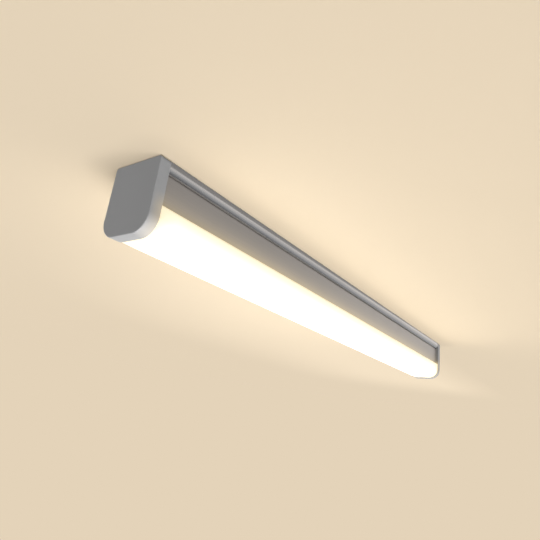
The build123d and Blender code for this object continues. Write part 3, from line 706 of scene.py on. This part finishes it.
def makeCover(end, side, shape):
    node = end + "_end_cover"
    low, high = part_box(node)
    outer, inner = (low.x, high.x) if side < 0 else (high.x, low.x)
    depth = abs(outer - inner)
    bm = bmesh.new()
    endRing(bm, outer, low, high, shape)
    cap = bmesh.ops.contextual_create(bm, geom=bm.edges[:])["faces"]
    back = onlyFaces(bmesh.ops.extrude_face_region(bm, geom=cap)["geom"])[0]
    bmesh.ops.translate(bm, verts=back.verts[:], vec=(-side * depth, 0, 0))
    bmesh.ops.recalc_face_normals(bm, faces=bm.faces[:])
    # the back is inset by the skirt and pushed in to hollow the cap
    bmesh.ops.inset_region(bm, faces=[back], thickness=shape["skirt"] * mm, use_even_offset=True)
    hollow = onlyVerts(bmesh.ops.extrude_face_region(bm, geom=[back])["geom"])
    bmesh.ops.translate(bm, verts=hollow, vec=(side * (depth - shape["skin"] * mm), 0, 0))
    if back.is_valid:
        bmesh.ops.delete(bm, geom=[back], context="FACES_ONLY")
    soften(bm, edgesAt(bm, outer), "EDGES", shape["edgeRound"], shape["edgeSteps"])
    soften(bm, edgesAt(bm, inner), "EDGES", shape["rimRound"], shape["rimSteps"])
    pegs = bmesh.new()
    root = shape["skin"] - shape["pegRoot"]
    reach = shape["pegEnd"] - root
    addRodsAlong(pegs, outer - side * (root + reach / 2) * mm, shape["pegs"], shape["pegRadius"], reach)
    carve(bm, pegs, "UNION")
    makePiece(end + "Cover", bm, greyMoulding, end + "_cover", node)


# end plates and gaskets behind the covers
plateShape = {
    "topRadius": 1.3, "bottomRadius": 12.8, "softEdge": 0.25, "edgeSteps": 3, "flatAngle": 1,
    "screwHole": 1.8, "screwDrill": 8.0, "socket": 2.1, "socketDepth": 2.3,
}


def makePlate(end, side, shape):
    node = end + "_end_plate"
    low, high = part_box(node)
    outer = low.x if side < 0 else high.x
    bm = bmesh.new()
    endRing(bm, low.x, low, high, shape)
    fillAndExtrude(bm, high.x - low.x)
    flat = math.radians(shape["flatAngle"])
    bmesh.ops.dissolve_limit(bm, angle_limit=flat, verts=bm.verts[:], edges=bm.edges[:])
    soften(bm, edgesAt(bm, outer), "EDGES", shape["softEdge"], shape["edgeSteps"])
    tools = bmesh.new()
    addRodsAlong(tools, (low.x + high.x) / 2, portSpots(), shape["screwHole"], shape["screwDrill"])
    middle = outer - side * (shape["socketDepth"] - drawing["proud"]) / 2 * mm
    drill = shape["socketDepth"] + drawing["proud"]
    addRodsAlong(tools, middle, coverShape["pegs"], shape["socket"], drill)
    carve(bm, tools)
    makePiece(end + "Plate", bm, darkMoulding, "fixture", node)


def makeGasket(end, shape):
    node = end + "_end_gasket"
    low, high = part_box(node)
    bm = bmesh.new()
    endRing(bm, low.x, low, high, shape)
    fillAndExtrude(bm, high.x - low.x)
    tools = bmesh.new()
    addRodsAlong(tools, (low.x + high.x) / 2, portSpots(), shape["screwHole"], shape["screwDrill"])
    carve(bm, tools)
    makePiece(end + "Gasket", bm, paleSilicone, "fixture", node)


# pan head screws with a cross recess
screwShape = {
    "head": 3.0, "headHeight": 2.2, "headEdge": 0.1,
    "dome": ((1, 0), (1, 0.45), (0.92, 0.72), (0.7, 0.92), (0.4, 1)),  # shares of its height and radius
    "shank": 1.4, "length": 14.5, "tip": 1.2, "tipShare": 0.45,
    "recess": 3.3, "recessWidth": 0.75, "recessDepth": 1.2, "steps": 40, "firstTurn": 17, "nextTurn": 41,
}


def makeScrews(end, side, shape):
    node = end + "_end_screws"
    low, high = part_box(node)
    top, head, edge = shape["headHeight"], shape["head"], shape["headEdge"]
    shank, foot = shape["shank"], -shape["length"]
    seat = low.x + top * mm if side < 0 else high.x - top * mm
    one = bmesh.new()
    path = [(top * up, head * out) for up, out in shape["dome"]]
    path += [(edge, head), (0, head - edge), (0, shank)]
    path += [(foot + shape["tip"], shank), (foot, shank * shape["tipShare"]), (foot, 0)]
    spots = [one.verts.new((side * x * mm, r * mm, 0)) for x, r in path]
    edges = [one.edges.new(pair) for pair in zip(spots, spots[1:])]
    bmesh.ops.spin(
        one, geom=spots + edges, cent=(0, 0, 0), axis=(1, 0, 0), angle=math.tau,
        steps=shape["steps"], use_merge=True,
    )
    mergeClose(one)
    deep = shape["recessDepth"] + drawing["proud"]
    middle = side * (top + drawing["proud"] - deep / 2) * mm
    for size in ((shape["recess"], shape["recessWidth"]), (shape["recessWidth"], shape["recess"])):
        slot = bmesh.new()
        addBlock(slot, (middle, 0, 0), (deep, *size))
        carve(one, slot)
    mesh = bpy.data.meshes.new("screwPattern")
    one.to_mesh(mesh)
    one.free()
    bm = bmesh.new()
    for number, (y, z) in enumerate(portSpots()):
        known = len(bm.verts)
        bm.from_mesh(mesh)
        bm.verts.ensure_lookup_table()
        screw = bm.verts[known:]
        angle = shape["firstTurn"] + shape["nextTurn"] * number  # each stopped at its own angle
        turn = Matrix.Rotation(math.radians(angle), 3, "X")
        bmesh.ops.rotate(bm, verts=screw, cent=(0, 0, 0), matrix=turn)
        bmesh.ops.translate(bm, verts=screw, vec=(seat, y * mm, z * mm))
    bpy.data.meshes.remove(mesh)
    makePiece(end + "Screws", bm, zincScrew, "fixture", node)


# ceiling clips: bent spring strips in the slot
clipShape = {
    "line": ((7.0, -0.4), (7.25, -2.1), (10.6, -4.2), (8.6, -6.4)), "bend": 0.6, "thickness": 0.8,
    "hole": 2.25, "holeDrill": 4.0, "holeSteps": 48,
}


def makeClip(end, shape):
    node = end + "_ceiling_clip"
    low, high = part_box(node)
    *bends, tip = shape["line"]
    bm = bmesh.new()
    moves = [("to", 0, bends[0][1])]
    moves += [("round", *spot, shape["bend"]) for spot in bends]
    drawLine(bm, low.x, [*moves, ("to", *tip)])
    mirrorAcross(bm)
    drawn = bmesh.ops.extrude_edge_only(bm, edges=bm.edges[:])["geom"]
    bmesh.ops.translate(bm, verts=onlyVerts(drawn), vec=(high.x - low.x, 0, 0))
    bmesh.ops.recalc_face_normals(bm, faces=bm.faces[:])
    bmesh.ops.solidify(bm, geom=bm.faces[:], thickness=shape["thickness"] * mm)
    shift = high.z - max(vert.co.z for vert in bm.verts)
    bmesh.ops.translate(bm, verts=bm.verts[:], vec=(0, 0, shift))
    hole = bmesh.new()
    middle = ((low.x + high.x) / 2, 0, 0)
    addRod(hole, middle, (0, 0, 1), shape["hole"], shape["holeDrill"], shape["holeSteps"])
    carve(bm, hole)
    makePiece(end + "Clip", bm, springStrip, end + "_clip", node)


# cable grommet, turned in rubber
grommetShape = {
    "bore": 4.0, "neck": 7.0, "flange": 9.0, "flangeHeight": 1.5, "spoutWall": 1.2, "steps": 64,
    "softEdge": 0.4, "seatEdge": 0.2, "spoutEdge": 0.3,
}


def makeGrommet(shape):
    low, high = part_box("cable_grommet")
    middle = (low + high) / 2
    top, foot = high.z / mm, low.z / mm
    floorTop, floorFoot = housingShape["slotFloor"], housingShape["roof"]
    bm = bmesh.new()
    drawLine(bm, 0, [
        ("round", shape["bore"], top, shape["softEdge"]),
        ("round", shape["flange"], top, shape["softEdge"]),
        ("round", shape["flange"], floorTop, shape["seatEdge"]),
        ("to", shape["neck"], floorTop),
        ("to", shape["neck"], floorFoot),
        ("round", shape["flange"], floorFoot, shape["seatEdge"]),
        ("round", shape["flange"], floorFoot - shape["flangeHeight"], shape["softEdge"]),
        ("round", shape["bore"] + shape["spoutWall"], foot, shape["spoutEdge"]),
        ("to", shape["bore"], foot),
    ])
    bm.edges.new([vert for vert in bm.verts if len(vert.link_edges) == 1])  # the wall of the bore
    bmesh.ops.spin(
        bm, geom=bm.verts[:] + bm.edges[:], cent=(0, 0, 0), axis=(0, 0, 1), angle=math.tau,
        steps=shape["steps"], use_merge=True,
    )
    bmesh.ops.translate(bm, verts=bm.verts[:], vec=(middle.x, middle.y, 0))
    makePiece("cableGrommet", bm, blackRubber, "fixture", "cable_grommet")


# soft strips above the diffuser's legs
sealShape = {"topRadius": 0.3, "bottomRadius": 0.6}


def makeSeal(name, node, shape):
    low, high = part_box(node)
    halfWidth, middle = (high.y - low.y) / 2 / mm, (low.y + high.y) / 2 / mm
    bm = bmesh.new()
    roundedRing(
        bm, low.x, halfWidth, high.z / mm, low.z / mm, shape["topRadius"], shape["bottomRadius"], middle,
    )
    fillAndExtrude(bm, high.x - low.x)
    makePiece(name, bm, greySilicone, "fixture", node)


makeHousing(housingShape)
makeDiffuser(opalShape)
for end, side in (("left", -1), ("right", 1)):
    makeCover(end, side, coverShape)
    makePlate(end, side, plateShape)
    makeGasket(end, plateShape)
    makeScrews(end, side, screwShape)
    makeClip(end, clipShape)
makeGrommet(grommetShape)
makeSeal("frontSeal", "front_diffuser_seal", sealShape)
makeSeal("rearSeal", "rear_diffuser_seal", sealShape)
print("outer pieces made")


# finishes on the nodes that keep their own shape
def dress(material, *names):
    for name in names:
        mesh = nodes[name].data
        mesh.materials.clear()
        mesh.materials.append(material)


def makeLead(name, dark, light):
    return makeFinish({**insulationLook, "name": name, "dark": dark, "light": light})


dress(zincScrew, "board_screws", "terminal_screws", "driver_screws", "earth_screw")
dress(springStrip, "clamp_springs")
dress(makeFinish(boardLook), "led_board_left", "led_board_right")
dress(makeFinish(connectorLook), "board_link", "led_connector")
dress(makeFinish(caseLook), "driver_tray", "driver_lid")
dress(makeFinish(circuitLook), "driver_board")
dress(makeFinish(ferriteLook), "driver_transformer", "driver_choke")
dress(makeFinish(sleeveLook), "driver_capacitors")
dress(makeFinish(terminalLook), "terminal_block")
dress(makeFinish(contactLook), "terminal_contacts", "earth_lug")
leadFinishes = {key: makeLead(key + "Insulation", *pair) for key, pair in insulationColours.items()}
dress(leadFinishes["live"], "live_lead", "live_button")
dress(leadFinishes["neutral"], "neutral_lead", "neutral_button")
dress(leadFinishes["positive"], "led_lead_positive")
dress(leadFinishes["negative"], "led_lead_negative")


# earth lead: green with a yellow stripe
earthLook = {
    **insulationLook, "name": "earthInsulation", "dark": (0.06, 0.26, 0.05), "light": (0.11, 0.38, 0.08),
    "stripe": (0.72, 0.55, 0.03), "stripeScale": 160, "stripeStart": 0.45, "stripeEnd": 0.55,
}


def makeEarth(look):
    material, tree, shader, where, tone = startFinish(look)
    green = mixColours(tree, tone, look["dark"], look["light"])
    bands = put(tree, "TexWave", {"Vector": where, "Scale": look["stripeScale"]}, bands_direction="Y")
    stripe = spread(tree, bands.outputs["Fac"], look["stripeStart"], look["stripeEnd"])
    tree.links.new(mixColours(tree, stripe, green, look["stripe"]), shader["Base Color"])
    return material


dress(makeEarth(earthLook), "earth_lead", "earth_button")


# LED packages: white bodies with a phosphor window
ledLook = {
    "name": "ledPackage", "pattern": "grain", "fine": 2000, "broad": 200,
    "dark": (0.8, 0.8, 0.78), "light": (0.88, 0.88, 0.86), "phosphor": (0.9, 0.66, 0.16),
    "rough": (0.3, 0.4), "smudge": 0.05, "bump": 0.08, "depth": 0.02, "glow": 2.0, "windowDepth": 0.1,
}


def makeLed(look):
    material, tree, shader, where, tone = startFinish(look)
    body = mixColours(tree, tone, look["dark"], look["light"])
    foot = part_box("leds")[0].z
    window = spread(tree, axesOf(tree, where)["Z"], foot, foot + look["windowDepth"] * mm)
    colour = mixColours(tree, window, body, look["phosphor"])
    tree.links.new(colour, shader["Base Color"])
    tree.links.new(colour, shader["Emission Color"])
    shader["Emission Strength"].default_value = look["glow"]
    return material


dress(makeLed(ledLook), "leds")
print("inner pieces dressed")


# the ceiling that the batten hangs on
roomColour = (0.776, 0.651, 0.485)
ceilingLook = {
    "size": 12000.0, "gap": 0.3, "fadeStart": 400.0, "fadeEnd": 1200.0,
    "shade": 0.93, "shadeStart": 4.0, "shadeEnd": 28.0,
    "pool": 0.18, "poolMiddle": 400.0, "poolHalf": 200.0, "poolSide": 120.0,
    "poolStart": 200.0, "poolEnd": 550.0,
}


def makeCeiling(look):
    bm = bmesh.new()
    bmesh.ops.create_grid(bm, x_segments=1, y_segments=1, size=look["size"] * mm / 2)
    bmesh.ops.translate(bm, verts=bm.verts[:], vec=(0, 0, cadHigh.z + look["gap"] * mm))
    bmesh.ops.reverse_faces(bm, faces=bm.faces[:])  # it faces down into the room
    mesh = bpy.data.meshes.new("ceiling")
    bm.to_mesh(mesh)
    bm.free()
    ceiling = bpy.data.objects.new("ceiling", mesh)
    bpy.context.scene.collection.objects.link(ceiling)
    material = bpy.data.materials.new("paintedCeiling")
    material.use_nodes = True
    tree = material.node_tree
    tree.nodes.remove(tree.nodes["Principled BSDF"])
    spot = axesOf(tree, put(tree, "TexCoord", {}).outputs["Object"])

    def farFrom(middle, halfLength, halfWidth):
        # how far a point of the ceiling is from a box on it
        spans = {}
        for axis, centre, half in (("X", middle, halfLength), ("Y", 0.0, halfWidth)):
            away = calc(tree, "ABSOLUTE", calc(tree, "SUBTRACT", spot[axis], centre))
            spans[axis] = calc(tree, "MAXIMUM", calc(tree, "SUBTRACT", away, half), 0.0)
        span = put(tree, "CombineXYZ", spans).outputs[0]
        return put(tree, "VectorMath", {0: span}, operation="LENGTH").outputs["Value"]

    def ease(value, start, end, low=0.0, high=1.0):
        return spread(tree, value, look[start] * mm, look[end] * mm, low, high, "SMOOTHSTEP")

    # a soft shade beside the batten, and a soft pool of light on its far side
    beside = farFrom(0.0, cadHigh.x, cadHigh.y)
    shade = ease(beside, "shadeStart", "shadeEnd", look["shade"], 1.0)
    away = farFrom(look["poolMiddle"] * mm, look["poolHalf"] * mm, 0.0)
    pool = ease(away, "poolEnd", "poolStart", 0.0, look["pool"])
    side = spread(tree, spot["Y"], 0.0, look["poolSide"] * mm)
    lift = calc(tree, "MULTIPLY_ADD", pool, side, shade)
    paint = put(tree, "BsdfDiffuse", {"Color": scaleColour(tree, roomColour, lift)}).outputs[0]
    # far off it turns to the flat colour of the room
    flat = put(tree, "Emission", {"Color": (*roomColour, 1)}).outputs[0]
    near = ease(beside, "fadeEnd", "fadeStart")
    paint = put(tree, "MixShader", {0: near, 1: flat, 2: paint}).outputs[0]
    # only the camera sees it, and only from below
    looking = put(tree, "LightPath", {}).outputs["Is Camera Ray"]
    behind = put(tree, "NewGeometry", {}).outputs["Backfacing"]
    seen = calc(tree, "SUBTRACT", looking, behind, use_clamp=True)
    clear = put(tree, "BsdfTransparent", {}).outputs[0]
    mixed = put(tree, "MixShader", {0: seen, 1: clear, 2: paint}).outputs[0]
    tree.links.new(mixed, tree.nodes["Material Output"].inputs["Surface"])
    material.cycles.emission_sampling = "NONE"  # the flat colour lights nothing
    mesh.materials.append(material)


# the light in the room
lightLook = {
    "fill": (0.3, 0.3, 0.298), "sheenLevel": 1.5, "sheenTint": (1.0, 0.94, 0.88),
    "sheen": (  # how bright the mirrored room is, from straight down to straight up
        (-1.0, 1.0), (-0.85, 0.95), (-0.66, 0.12), (-0.4, 0.15), (-0.15, 0.44),
        (0.11, 0.7), (0.27, 0.95), (0.39, 0.33), (1.0, 0.33),
    ),
    "key": {"from": (-0.08, -0.38, -0.92), "level": 2.39, "angle": 50},
    "top": {"from": (0.4, 0.62, 0.68), "level": 1.9, "angle": 60},
    "glint": {"from": (0.52, -0.33, -0.79), "level": 7.0, "angle": 80, "tint": (1.0, 0.95, 0.9)},
}


def addSun(name, look):
    sun = bpy.data.objects.new(name, bpy.data.lights.new(name, "SUN"))
    sun.data.energy = look["level"]
    sun.data.angle = math.radians(look["angle"])
    sun.rotation_euler = (-Vector(look["from"])).to_track_quat("-Z", "Y").to_euler()
    bpy.context.scene.collection.objects.link(sun)
    return sun


def makeLight(look):
    world = bpy.data.worlds.new("room")
    bpy.context.scene.world = world
    world.use_nodes = True
    tree = world.node_tree
    tree.nodes.clear()
    ray = put(tree, "LightPath", {}).outputs
    # glossy finishes mirror a bright floor, dim walls and a bright ceiling
    toward = axesOf(tree, put(tree, "TexCoord", {}).outputs["Generated"])["Z"]
    sheen = put(tree, "ValToRGB", {"Fac": spread(tree, toward, -1.0, 1.0)})
    stops = sheen.color_ramp.elements
    for height, bright in look["sheen"]:
        if height == -1:
            stop = stops[0]
        elif height == 1:
            stop = stops[-1]
        else:
            stop = stops.new((height + 1) / 2)
        tint = look["sheenTint"] if height > 0 else (1, 1, 1)
        stop.color = (*[bright * share for share in tint], 1)
    mirrored = scaleColour(tree, sheen.outputs["Color"], look["sheenLevel"])
    around = mixColours(tree, ray["Is Glossy Ray"], look["fill"], mirrored)
    looking = calc(tree, "MAXIMUM", ray["Is Camera Ray"], ray["Is Transmission Ray"])
    colour = mixColours(tree, looking, around, roomColour)
    shade = put(tree, "Background", {"Color": colour}).outputs[0]
    put(tree, "OutputWorld", {"Surface": shade})
    for name in ("key", "top"):
        addSun(name, look[name]).visible_glossy = False  # finishes mirror the room, not the suns
    # only the near cover takes the glint, along its rounded edge
    glint = addSun("glint", look["glint"])
    glint.data.color = look["glint"]["tint"]
    glint.visible_diffuse = False
    glinting = bpy.data.collections.new("glinting")
    glinting.objects.link(bpy.data.objects["leftCover"])
    glint.light_linking.receiver_collection = glinting


# camera, as in the photograph
cameraView = {
    "place": (-473.3, -257.4, -162.5), "yaw": 37.46, "pitch": 18.29, "roll": 7.41,
    "lens": 32.09, "clipStart": 10.0,
}


def makeCamera(look):
    yaw, pitch, roll = (math.radians(look[key]) for key in ("yaw", "pitch", "roll"))
    ahead = Vector((math.cos(pitch) * math.cos(yaw), math.cos(pitch) * math.sin(yaw), math.sin(pitch)))
    across = Vector((math.sin(yaw), -math.cos(yaw), 0))
    upward = across.cross(ahead)
    right = math.cos(roll) * across + math.sin(roll) * upward
    up = math.cos(roll) * upward - math.sin(roll) * across
    camera = bpy.data.objects.new("camera", bpy.data.cameras.new("camera"))
    camera.data.lens = look["lens"]
    camera.data.clip_start = look["clipStart"] * mm
    turn = Matrix((right, up, -ahead)).transposed().to_4x4()
    camera.matrix_world = Matrix.Translation([value * mm for value in look["place"]]) @ turn
    bpy.context.scene.collection.objects.link(camera)
    bpy.context.scene.camera = camera


makeCeiling(ceilingLook)
makeLight(lightLook)
makeCamera(cameraView)
bpy.context.scene.view_settings.view_transform = "Standard"
print("stage, light and camera set")
